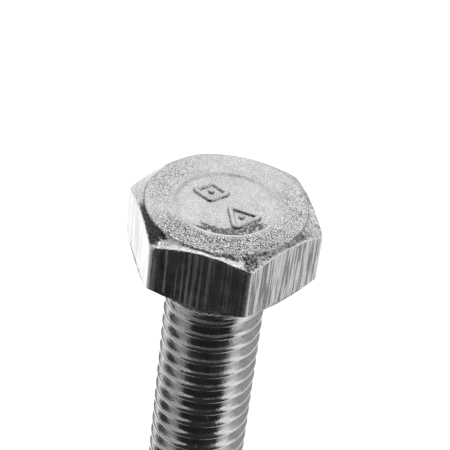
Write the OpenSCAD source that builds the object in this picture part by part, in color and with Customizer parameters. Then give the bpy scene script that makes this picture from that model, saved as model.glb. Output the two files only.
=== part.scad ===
// Hex head bolt with a metric coarse right-hand thread up to a short plain neck.
// The origin is the centre of the bearing face under the head. +Z points out of
// the head's top, and the shank hangs down along -Z. Two corners of the hexagon lie on X.

/* [Head] */
// Width of the head across two opposite flats
across_flats = 10; // [8.5:0.1:16]
// Height of the head above its bearing face
head_height = 4; // [2.8:0.1:10]
// Distance from the flats in to the circle where the top chamfer starts
top_chamfer_inset = 0.35; // [0.1:0.05:0.6]
// Slope of the top chamfer, in degrees
top_chamfer_angle = 30; // [15:1:35]
// Distance from the flats in to the edge of the round bearing face
bearing_inset = 0.3; // [0.1:0.05:0.6]
// Slope of the trimmed edge under the head, in degrees
under_chamfer_angle = 16; // [5:1:30]

/* [Recess in the top of the head] */
// Radius of the flat floor of the recess
recess_floor_radius = 2.75; // [2.2:0.05:3.3]
// Depth of the recess floor below the top of the head
recess_depth = 0.15; // [0.05:0.01:0.4]
// Width of the sloping wall round the floor
recess_wall_width = 0.25; // [0.1:0.05:0.5]
// Width of the soft dished rim outside the wall
dish_width = 0.5; // [0.1:0.05:0.6]
// Depth of the dished rim at the wall
dish_depth = 0.04; // [0.01:0.01:0.04]

/* [Raised marks] */
// How far the marks stand up from the recess floor
mark_height = 0.12; // [0.03:0.01:0.15]
// Distance from the bolt's axis to the middle of each mark
mark_offset = 1.4; // [1.2:0.05:1.5]
// Turn of the line through both marks, in degrees from X
mark_line_angle = 144; // [0:1:359]
// Half length of the lozenge mark along its long diagonal
lozenge_half_length = 1.2; // [0.8:0.05:1.2]
// Half length of the lozenge mark along its short diagonal
lozenge_half_width = 1; // [0.7:0.05:1]
// Turn of the lozenge's long diagonal from the line through both marks, in degrees
lozenge_turn = 48; // [0:1:179]
// Distance from the middle of the triangle mark to its corners
triangle_radius = 1.4; // [0.9:0.05:1.4]
// Width of the raised lines that the marks are made of
mark_line_width = 0.3; // [0.15:0.01:0.3]
// Radius of the round pip in the middle of each mark
pip_radius = 0.2; // [0.1:0.01:0.22]

/* [Neck] */
// Radius of the fillet between the bearing face and the neck
neck_fillet_radius = 0.3; // [0.1:0.05:0.5]
// Distance from the bearing face to the end of the plain neck
neck_length = 2.2; // [1:0.1:6]
// How far the neck's surface lies below the thread's crests
neck_relief = 0.085; // [0.02:0.005:0.2]

/* [Thread] */
// Nominal diameter of the thread
thread_diameter = 6; // [5:0.1:7.4]
// Distance between neighbouring threads
thread_pitch = 1; // [0.8:0.05:1.25]
// How far the crests stay under the nominal diameter, measured on the radius
crest_allowance = 0.015; // [0:0.005:0.05]
// Length of the bolt below the bearing face
shank_length = 25; // [10:1:30]
// Length over which the thread fades out towards the neck
thread_runout = 0.8; // [0.5:0.1:2]
// Direction from the axis, in degrees from X, in which a crest meets the bearing plane
thread_start_angle = 195; // [0:5:355]
// Radius of the flat end of the point
point_radius = 2.25; // [1.2:0.05:2.3]
// Straight steps in one turn of the thread
steps_per_turn = 36; // [24:4:40]

/* [Hidden] */

// Smooth round surfaces
round_steps = 96;
// Half of the thread's included angle
flank_angle = 30;
// Thread depth below the nominal radius, and crest width, as parts of the pitch
depth_per_pitch = 0.6134;
crest_per_pitch = 1 / 8;
// Thread rows closer than this to an end of the thread are drawn into that end
row_snap = 0.02;

flat_radius = across_flats / 2;
corner_radius = flat_radius / cos(30);
top_flat_radius = flat_radius - top_chamfer_inset;
bearing_radius = flat_radius - bearing_inset;
top_chamfer_drop = (corner_radius - top_flat_radius) * tan(top_chamfer_angle);
under_chamfer_rise = (corner_radius - bearing_radius) * tan(under_chamfer_angle);
recess_rim_radius = recess_floor_radius + recess_wall_width;
recess_floor_z = head_height - recess_depth;

// Distance from the middle of the lozenge to its sides
lozenge_inradius = lozenge_half_length * lozenge_half_width
    / norm([lozenge_half_length, lozenge_half_width]);

crest_radius = thread_diameter / 2 - crest_allowance;
root_radius = thread_diameter / 2 - depth_per_pitch * thread_pitch;
neck_radius = crest_radius - neck_relief;
thread_top = -neck_length;
thread_bottom = -shank_length;

// Heights of a thread's four rows above the middle of its crest, as parts of the pitch,
// and their radii: both edges of the crest, then both edges of the root above it
crest_half = crest_per_pitch / 2;
flank_rise = (crest_radius - root_radius) * tan(flank_angle) / thread_pitch;
row_rises = [-crest_half, crest_half, crest_half + flank_rise, 1 - crest_half - flank_rise];
row_radii = [crest_radius, crest_radius, root_radius, root_radius];
rows_per_pitch = len(row_rises);

// Rows start more than a whole turn below the point and end above the neck
start_turn = thread_start_angle / 360;
first_turn = floor(thread_bottom / thread_pitch - 1 - row_rises[0] + start_turn);
last_turn = ceil(thread_top / thread_pitch + 1 + start_turn);
row_count = (last_turn - first_turn) * rows_per_pitch;
rows_stored = row_count + rows_per_pitch;

// 0 below the limits, 1 above them, and a soft step between
function soft_step(value, low, high) =
    let (t = min(1, max(0, (value - low) / (high - low))))
    t * t * (3 - 2 * t);

// Height of a thread row at a step round the turn, before it is cut to the thread's length
function row_height(step, row) =
    thread_pitch * (first_turn + floor(row / rows_per_pitch) + row_rises[row % rows_per_pitch]
        + step / steps_per_turn - start_turn);

// Radius of a thread row at a height: the thread form, faded into the neck and cut by the point
function row_radius(row, z) =
    let (
        fade = soft_step(z, thread_top - thread_runout, thread_top),
        floor_radius = root_radius + (neck_radius - root_radius) * fade,
        crest_limit = crest_radius + (neck_radius - crest_radius) * fade,
        point_limit = point_radius + (z - thread_bottom)
    )
    min(point_limit, crest_limit, max(floor_radius, row_radii[row % rows_per_pitch]));

function around(radius, step, z) =
    let (angle = 360 * step / steps_per_turn)
    [radius * cos(angle), radius * sin(angle), z];

// Index of a thread point. Rows past an end of the thread fall on that end's ring.
function point_index(step, row) =
    step == steps_per_turn ? point_index(0, row + rows_per_pitch) :
    row_height(step, row) < thread_bottom + row_snap ? step :
    row_height(step, row) > thread_top - row_snap ? steps_per_turn + step :
    2 * steps_per_turn + step * rows_stored + row;

function is_triangle(f) = f[0] != f[1] && f[1] != f[2] && f[2] != f[0];

// Hexagonal prism turned so that two corners lie on X
module hexagon_bar(height) {
    cylinder(r = corner_radius, h = height, $fn = 6);
}

// Round outline of the head: bearing face, both chamfers, dished rim and recess
module head_envelope() {
    rotate_extrude($fn = round_steps)
        polygon([
            [0, 0],
            [bearing_radius, 0],
            [corner_radius, under_chamfer_rise],
            [corner_radius, head_height - top_chamfer_drop],
            [top_flat_radius, head_height],
            [recess_rim_radius + dish_width, head_height],
            [recess_rim_radius, head_height - dish_depth],
            [recess_floor_radius, recess_floor_z],
            [0, recess_floor_z]
        ]);
}

// Concave fillet that leads from the bearing face down to the neck
module under_head_fillet() {
    rotate_extrude($fn = round_steps)
        difference() {
            translate([0, -neck_fillet_radius])
                square([neck_radius + neck_fillet_radius, neck_fillet_radius]);
            translate([neck_radius + neck_fillet_radius, -neck_fillet_radius])
                circle(r = neck_fillet_radius);
        }
}

module hex_head() {
    color("silver") {
        intersection() {
            hexagon_bar(head_height);
            head_envelope();
        }
        under_head_fillet();
    }
}

// A raised outline of even width, given the corners of its outer edge as a regular shape
// squeezed to the wanted proportions, with a pip in the middle
module outlined_mark(half_length, half_width, inner_scale, corners) {
    linear_extrude(mark_height)
        difference() {
            polygon([for (a = [0 : 360 / corners : 359]) [half_length * cos(a), half_width * sin(a)]]);
            polygon([for (a = [0 : 360 / corners : 359])
                inner_scale * [half_length * cos(a), half_width * sin(a)]]);
        }
    cylinder(r = pip_radius, h = mark_height, $fn = round_steps);
}

module head_marks() {
    color("gainsboro")
        rotate([0, 0, mark_line_angle])
            translate([0, 0, recess_floor_z]) {
                translate([mark_offset, 0, 0])
                    rotate([0, 0, lozenge_turn])
                        outlined_mark(lozenge_half_length, lozenge_half_width,
                            1 - mark_line_width / lozenge_inradius, 4);
                translate([-mark_offset, 0, 0])
                    outlined_mark(triangle_radius, triangle_radius,
                        1 - mark_line_width / (triangle_radius / 2), 3);
            }
}

module plain_neck() {
    color("darkgray")
        translate([0, 0, -neck_length])
            cylinder(r = neck_radius, h = neck_length - neck_fillet_radius, $fn = round_steps);
}

// One closed skin: a ring at the point, a ring at the neck, and the helical rows between
module threaded_shank() {
    end_rings = [
        for (step = [0 : steps_per_turn - 1]) around(point_radius, step, thread_bottom),
        for (step = [0 : steps_per_turn - 1]) around(neck_radius, step, thread_top)
    ];
    rows = [
        for (step = [0 : steps_per_turn - 1], row = [0 : rows_stored - 1])
            let (z = min(thread_top, max(thread_bottom, row_height(step, row))))
            around(row_radius(row, z), step, z)
    ];
    sides = [
        for (step = [0 : steps_per_turn - 1], row = [0 : row_count - 2])
            let (
                low_near = point_index(step, row),
                low_far = point_index(step + 1, row),
                high_far = point_index(step + 1, row + 1),
                high_near = point_index(step, row + 1)
            )
            each [[high_far, low_far, low_near], [high_near, high_far, low_near]]
    ];
    color("lightslategray")
        polyhedron(
            points = concat(end_rings, rows),
            faces = concat(
                [[for (step = [0 : steps_per_turn - 1]) step]],
                [[for (step = [steps_per_turn - 1 : -1 : 0]) steps_per_turn + step]],
                [for (f = sides) if (is_triangle(f)) f]
            )
        );
}

hex_head();
head_marks();
plain_neck();
threaded_shank();
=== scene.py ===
"""Looks of a hex head bolt: forged head, raised marks, plain neck and rolled thread.

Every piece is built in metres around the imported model, which gives the overall sizes.
"""

import itertools
import logging
import math
from dataclasses import dataclass, field
from enum import Enum, IntEnum
from typing import Any, Iterable, Sequence

import bpy
import numpy as np
from mathutils import Matrix, Vector


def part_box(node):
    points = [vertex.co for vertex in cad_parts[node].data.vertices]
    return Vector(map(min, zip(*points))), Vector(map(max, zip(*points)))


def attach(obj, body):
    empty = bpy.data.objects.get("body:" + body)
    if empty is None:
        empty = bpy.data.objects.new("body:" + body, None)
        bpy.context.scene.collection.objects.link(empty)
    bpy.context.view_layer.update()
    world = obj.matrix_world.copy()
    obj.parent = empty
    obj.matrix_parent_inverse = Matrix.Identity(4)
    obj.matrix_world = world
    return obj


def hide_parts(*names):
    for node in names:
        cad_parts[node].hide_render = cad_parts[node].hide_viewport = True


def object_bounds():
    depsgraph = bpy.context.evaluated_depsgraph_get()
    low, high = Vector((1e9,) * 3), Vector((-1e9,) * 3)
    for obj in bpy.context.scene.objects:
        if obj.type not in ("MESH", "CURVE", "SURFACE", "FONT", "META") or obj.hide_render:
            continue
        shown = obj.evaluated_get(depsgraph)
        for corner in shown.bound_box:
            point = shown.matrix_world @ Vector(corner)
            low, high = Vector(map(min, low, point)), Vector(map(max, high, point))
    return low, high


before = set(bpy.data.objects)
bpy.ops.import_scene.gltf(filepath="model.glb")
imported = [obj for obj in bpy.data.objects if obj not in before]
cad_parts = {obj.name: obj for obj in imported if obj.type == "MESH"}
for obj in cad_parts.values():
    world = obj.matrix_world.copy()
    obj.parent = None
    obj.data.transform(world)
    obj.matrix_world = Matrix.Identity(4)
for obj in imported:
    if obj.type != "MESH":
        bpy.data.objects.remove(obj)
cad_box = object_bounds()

log = logging.getLogger("hex_bolt")

MM = 0.001
BODY = "root"
# The floor lies this far below the bolt's point, so that the two don't share a plane
FLOOR_GAP = 0.02 * MM

Socket = Any
Array = np.ndarray


class Slot(Enum):
    """Names of two material slots."""

    BRIGHT = "bright_steel"
    ROLLED = "rolled_steel"


# --------------------------------------------------------------------------- noise

# Large odd numbers that spread neighbouring lattice corners far apart
AXIS_KEYS = (374761393, 668265263, 2147483647)
SEED_KEY = 974711
MIX_KEYS = ((13, 1274126177), (16, 2246822519))
WORD = 0xFFFFFFFF
LOW_BITS = 0xFFFF


@dataclass(frozen=True)
class LatticeNoise:
    """Smooth seeded noise between -1 and 1, evaluated on whole arrays of points."""

    seed: int

    def at(self, x: Array | float, y: Array | float, z: Array | float) -> Array:
        """Samples the noise.

        Args:
            x: first coordinate, one unit per lattice cell.
            y: second coordinate.
            z: third coordinate.

        Returns:
            Noise values with the broadcast shape of the inputs.
        """
        x, y, z = np.broadcast_arrays(x, y, z)
        base = [np.floor(c).astype(np.int64) for c in (x, y, z)]
        part = [c - b for c, b in zip((x, y, z), base)]
        ease = [p * p * (3 - 2 * p) for p in part]
        total = np.zeros(x.shape)
        for step in itertools.product((0, 1), repeat=3):
            weight = np.ones(x.shape)
            for e, s in zip(ease, step):
                weight = weight * (e if s else 1 - e)
            total += weight * self._corner(*(b + s for b, s in zip(base, step)))
        return total

    def _corner(self, i: Array, j: Array, k: Array) -> Array:
        """Gives each lattice corner its own value.

        Args:
            i: the corner's first index.
            j: its second index.
            k: its third index.

        Returns:
            Values between -1 and 1.
        """
        word = self.seed * SEED_KEY
        for index, key in zip((i, j, k), AXIS_KEYS):
            word = word + index * key
        word = word & WORD
        for shift, key in MIX_KEYS:
            word = ((word ^ (word >> shift)) * key) & WORD
        return (word & LOW_BITS) / (LOW_BITS / 2) - 1


# --------------------------------------------------------------------------- node trees


class Graph:
    """A node tree with short calls that add nodes and wire them."""

    def __init__(self, tree: bpy.types.NodeTree) -> None:
        """Starts from an existing tree."""
        self.tree = tree

    def node(self, kind: str, inputs: dict[Any, Any] | None = None, **settings: Any) -> bpy.types.Node:
        """Adds a node.

        Args:
            kind: the node's type name.
            inputs: values or sockets, by input name or index.
            settings: properties of the node.

        Returns:
            The new node.
        """
        made = self.tree.nodes.new(kind)
        for name, value in settings.items():
            setattr(made, name, value)
        for name, value in (inputs or {}).items():
            self.feed(made.inputs[name], value)
        return made

    def feed(self, socket: Socket, value: Any) -> None:
        """Links a socket to an input, or sets the input's own value.

        Args:
            socket: the input.
            value: a socket to link, or a plain value.
        """
        if isinstance(value, bpy.types.NodeSocket):
            self.tree.links.new(value, socket)
        else:
            socket.default_value = value

    def math(self, operation: str, *values: Any, clamp: bool = False) -> Socket:
        """Adds a Math node.

        Args:
            operation: the node's operation.
            values: numbers or sockets, in the order of the node's inputs.
            clamp: keeps the result between 0 and 1.

        Returns:
            The result.
        """
        made = self.node("ShaderNodeMath", operation=operation, use_clamp=clamp)
        for socket, value in zip(made.inputs, values):
            self.feed(socket, value)
        return made.outputs[0]

    def vector(self, operation: str, *values: Any) -> bpy.types.Node:
        """Adds a Vector Math node.

        Args:
            operation: the node's operation.
            values: vectors or sockets, in the order of the node's inputs.

        Returns:
            The node.
        """
        made = self.node("ShaderNodeVectorMath", operation=operation)
        for socket, value in zip(made.inputs, values):
            self.feed(socket, value)
        return made

    def split(self, vector: Socket) -> tuple[Socket, Socket, Socket]:
        """Returns the three components of a vector."""
        made = self.node("ShaderNodeSeparateXYZ", {0: vector})
        return tuple(made.outputs)

    def join(self, x: Any, y: Any, z: Any) -> Socket:
        """Returns a vector made of three values."""
        return self.node("ShaderNodeCombineXYZ", {0: x, 1: y, 2: z}).outputs[0]

    def offset(self, direction: Socket, reach: Any, height: Any) -> Socket:
        """Returns the place at a distance in a level direction and at a height."""
        outward = self.node("ShaderNodeVectorMath", {0: direction, "Scale": reach}, operation="SCALE")
        return self.vector("ADD", outward.outputs[0], self.join(0.0, 0.0, height)).outputs[0]

    def gathered(self, *parts: Socket) -> Socket:
        """Joins pieces of geometry.

        Args:
            parts: the pieces.

        Returns:
            All of them as one.
        """
        made = self.node("GeometryNodeJoinGeometry")
        for part in parts:
            self.tree.links.new(part, made.inputs[0])
        return made.outputs[0]

    def remap(self, value: Any, low: Any, high: Any, to_low: Any = 0.0, to_high: Any = 1.0,
              smooth: bool = True) -> Socket:
        """Maps a value from one range to another, clamped at both ends.

        Args:
            value: the value or socket to map.
            low: start of the range that is read.
            high: end of the range that is read.
            to_low: result at low.
            to_high: result at high.
            smooth: eases the ends instead of a straight line.

        Returns:
            The mapped value.
        """
        made = self.node("ShaderNodeMapRange", interpolation_type="SMOOTHSTEP" if smooth else "LINEAR")
        for socket, item in zip(made.inputs, (value, low, high, to_low, to_high)):
            self.feed(socket, item)
        return made.outputs[0]

    def noise(self, place: Socket, scale: Any, detail: float = 3.0, roughness: float = 0.55) -> Socket:
        """Adds fractal noise.

        Args:
            place: where it is read.
            scale: lumps per metre.
            detail: how many finer layers it has.
            roughness: how strong the finer layers are.

        Returns:
            The noise, about 0.5 on average.
        """
        made = self.node("ShaderNodeTexNoise",
                         {"Vector": place, "Scale": scale, "Detail": detail, "Roughness": roughness})
        return made.outputs[0]

    def cells(self, place: Socket, scale: Any) -> Socket:
        """Returns the distance to the nearest of many scattered points, in cells."""
        made = self.node("ShaderNodeTexVoronoi", {"Vector": place, "Scale": scale})
        return made.outputs["Distance"]

    def clamped(self, value: Any, low: float, high: float) -> Socket:
        """Keeps a value between two limits."""
        return self.math("MINIMUM", self.math("MAXIMUM", value, low), high)

    def between(self, share: Any, start: Any, end: Any) -> Socket:
        """Returns the value at a share of the way from start to end."""
        return self.math("ADD", start, self.math("MULTIPLY", share, self.math("SUBTRACT", end, start)))

    def grey(self, value: Socket) -> Socket:
        """Turns a value into a grey colour."""
        return self.node("ShaderNodeCombineColor", {0: value, 1: value, 2: value}).outputs[0]


class Group:
    """A node group with named inputs and outputs."""

    def __init__(self, name: str, kind: str, inputs: dict[str, tuple[str, Any]],
                 outputs: dict[str, str]) -> None:
        """Builds the empty group.

        Args:
            name: the group's name.
            kind: the tree's type, such as ShaderNodeTree.
            inputs: socket type and default value, by name.
            outputs: socket type, by name.
        """
        self.tree = bpy.data.node_groups.new(name, kind)
        for label, (socket_type, value) in inputs.items():
            made = self.tree.interface.new_socket(label, in_out="INPUT", socket_type=socket_type)
            if value is not None:
                made.default_value = value
        for label, socket_type in outputs.items():
            self.tree.interface.new_socket(label, in_out="OUTPUT", socket_type=socket_type)
        self.graph = Graph(self.tree)
        self.given = self.tree.nodes.new("NodeGroupInput").outputs
        self.result = self.tree.nodes.new("NodeGroupOutput").inputs

    def identifiers(self) -> dict[str, str]:
        """Returns the identifier of each input, by its name."""
        return {s.name: s.identifier for s in self.tree.interface.items_tree if s.in_out == "INPUT"}

    def finish(self, geometry: Socket) -> None:
        """Ends a tree that makes geometry: realizes it and sets its material.

        Args:
            geometry: what the tree has made.
        """
        real = self.graph.node("GeometryNodeRealizeInstances", {"Geometry": geometry})
        dressed = self.graph.node("GeometryNodeSetMaterial",
                                  {"Geometry": real.outputs[0], "Material": self.given["Finish"]})
        self.graph.feed(self.result["Geometry"], dressed.outputs[0])


FLOAT = "NodeSocketFloat"
VECTOR = "NodeSocketVector"


class SurfaceEffects:
    """Shader groups that several steel finishes share."""

    def __init__(self) -> None:
        """Builds each group once."""
        self.grain = self._grain()
        self.streaks = self._streaks()
        self.pits = self._pits()
        self.wear = self._wear()

    @staticmethod
    def _grain() -> bpy.types.NodeTree:
        """Fine irregular grain of a pressed or blasted surface, and broad soft patches.

        Returns:
            The group.
        """
        group = Group("fine_grain", "ShaderNodeTree",
                      {"Place": (VECTOR, None), "Size": (FLOAT, 0.08 * MM)},
                      {"Height": FLOAT, "Tone": FLOAT, "Patch": FLOAT})
        g = group.graph
        scale = g.math("DIVIDE", 1.0, group.given["Size"])
        fine = g.noise(group.given["Place"], scale, detail=1.5, roughness=0.6)
        finer = g.noise(group.given["Place"], g.math("MULTIPLY", scale, 1.7), detail=1.0, roughness=0.5)
        broad = g.noise(group.given["Place"], g.math("MULTIPLY", scale, 0.1), detail=3.0, roughness=0.55)
        g.feed(group.result["Height"], fine)
        g.feed(group.result["Tone"], g.remap(finer, low=0.32, high=0.68))
        g.feed(group.result["Patch"], g.remap(broad, low=0.35, high=0.65))
        return group.tree

    @staticmethod
    def _streaks() -> bpy.types.NodeTree:
        """Lines along the bolt's axis, as a trimming die or a drawing die leaves them.

        Returns:
            The group.
        """
        group = Group("axial_streaks", "ShaderNodeTree",
                      {"Place": (VECTOR, None), "Width": (FLOAT, 0.1 * MM), "Length": (FLOAT, 6.0 * MM)},
                      {"Height": FLOAT, "Rubbed": FLOAT, "Dull": FLOAT})
        g = group.graph
        x, y, z = g.split(group.given["Place"])
        across_x = g.math("DIVIDE", x, group.given["Width"])
        across_y = g.math("DIVIDE", y, group.given["Width"])
        long_lines = g.join(across_x, across_y, g.math("DIVIDE", z, group.given["Length"]))
        short_length = g.math("MULTIPLY", group.given["Length"], 0.4)
        short_lines = g.join(across_x, across_y, g.math("DIVIDE", z, short_length))
        broad = g.noise(long_lines, 0.22, detail=1.0, roughness=0.5)
        fine = g.noise(long_lines, 0.9, detail=2.0, roughness=0.6)
        broken = g.noise(short_lines, 0.8, detail=2.0, roughness=0.6)
        height = g.math("MULTIPLY_ADD", broad, 0.5, g.math("MULTIPLY", fine, 0.5))
        rubbed = g.math("MULTIPLY_ADD", broad, 0.6, fine)
        dull = g.math("MULTIPLY_ADD", broad, -0.3, broken)
        g.feed(group.result["Height"], height)
        g.feed(group.result["Rubbed"], g.remap(rubbed, low=0.77, high=0.93))
        g.feed(group.result["Dull"], g.remap(dull, low=0.27, high=0.42, to_low=1.0, to_high=0.0))
        return group.tree

    @staticmethod
    def _pits() -> bpy.types.NodeTree:
        """Scattered small pits and nicks, ragged at their edges.

        Returns:
            The group.
        """
        group = Group("pits", "ShaderNodeTree",
                      {"Place": (VECTOR, None), "Spacing": (FLOAT, 0.6 * MM), "Size": (FLOAT, 0.25)},
                      {"Mask": FLOAT})
        g = group.graph
        scale = g.math("DIVIDE", 1.0, group.given["Spacing"])
        ragged = g.noise(group.given["Place"], g.math("MULTIPLY", scale, 4.0), detail=3.0, roughness=0.6)
        distance = g.math("MULTIPLY_ADD", ragged, 0.5, g.cells(group.given["Place"], scale))
        # half of the ragged noise, which is 0.5 on average, has to be made up for
        edge = g.math("ADD", group.given["Size"], 0.25)
        soft_edge = g.math("ADD", edge, 0.06)
        g.feed(group.result["Mask"], g.remap(distance, edge, soft_edge, to_low=1.0, to_high=0.0))
        return group.tree

    @staticmethod
    def _wear() -> bpy.types.NodeTree:
        """Breaks a soft mask up with noise: Amount 0 leaves nothing of it, 1 leaves all.

        Returns:
            The group.
        """
        group = Group("broken_mask", "ShaderNodeTree",
                      {"Place": (VECTOR, None), "Amount": (FLOAT, 0.0), "Break size": (FLOAT, 0.2 * MM)},
                      {"Mask": FLOAT, "Specks": FLOAT})
        g = group.graph
        scale = g.math("DIVIDE", 1.0, group.given["Break size"])
        broken = g.noise(group.given["Place"], scale, detail=3.0, roughness=0.65)
        amount = g.math("MULTIPLY_ADD", g.math("SUBTRACT", broken, 0.5), 2.0, group.given["Amount"])
        present = g.math("GREATER_THAN", group.given["Amount"], 0.02)
        mask = g.math("MULTIPLY", present, g.remap(amount, low=0.36, high=0.66))
        g.feed(group.result["Mask"], mask)
        fine = g.noise(group.given["Place"], g.math("MULTIPLY", scale, 1.9), detail=2.0, roughness=0.6)
        g.feed(group.result["Specks"], g.math("MULTIPLY", mask, g.remap(fine, low=0.5, high=0.7)))
        return group.tree


# --------------------------------------------------------------------------- finishes

TONE_LIMITS = (0.02, 0.95)
ROUGHNESS_LIMITS = (0.08, 0.9)


@dataclass
class Surface:
    """Brightness, roughness and height of a surface while its layers are added."""

    graph: Graph
    place: Socket
    tone: Any
    rough: Any
    height: Any = 0.0

    def group(self, tree: bpy.types.NodeTree, inputs: dict[str, Any]) -> bpy.types.Node:
        """Adds a shared group that works on this surface.

        Args:
            tree: the group.
            inputs: values or sockets, by input name.

        Returns:
            The group's node.
        """
        made = self.graph.node("ShaderNodeGroup", node_tree=tree)
        for name, value in (inputs | {"Place": self.place}).items():
            self.graph.feed(made.inputs[name], value)
        return made

    def raised(self, shape: Socket, depth: Any) -> None:
        """Adds a shape to the height."""
        self.height = self.graph.math("MULTIPLY_ADD", shape, depth, self.height)

    def shaded(self, shape: Any, tone: float, rough: float = 0.0) -> None:
        """Adds to the brightness and the roughness where the shape is 1.

        Args:
            shape: where it acts, from 0 to 1.
            tone: brightness that is added.
            rough: roughness that is added.
        """
        self.tone = self.graph.math("MULTIPLY_ADD", shape, tone, self.tone)
        if rough:
            self.rough = self.graph.math("MULTIPLY_ADD", shape, rough, self.rough)

    def covered(self, mask: Socket, tone: float, rough: float) -> None:
        """Replaces the brightness and the roughness where the mask is 1.

        Args:
            mask: where it acts, from 0 to 1.
            tone: the new brightness.
            rough: the new roughness.
        """
        g = self.graph
        kept = g.math("SUBTRACT", 1.0, mask)
        self.tone = g.math("MULTIPLY_ADD", self.tone, kept, g.math("MULTIPLY", mask, tone))
        self.rough = g.math("MULTIPLY_ADD", self.rough, kept, g.math("MULTIPLY", mask, rough))

    def marks(self, wear: bpy.types.NodeTree, name: str, gaps: float, tone: float, rough: float) -> Socket:
        """Covers the stretches that the mesh marks, broken up by gaps.

        Args:
            wear: the shared group that breaks masks up.
            name: the mesh's value that says where.
            gaps: size of the gaps.
            tone: brightness of the covered stretches.
            rough: roughness of the covered stretches.

        Returns:
            Fine specks within the covered stretches.
        """
        amount = self.graph.node("ShaderNodeAttribute", attribute_name=name).outputs["Fac"]
        broken = self.group(wear, {"Amount": amount, "Break size": gaps}).outputs
        self.covered(broken["Mask"], tone, rough)
        return broken["Specks"]


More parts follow.
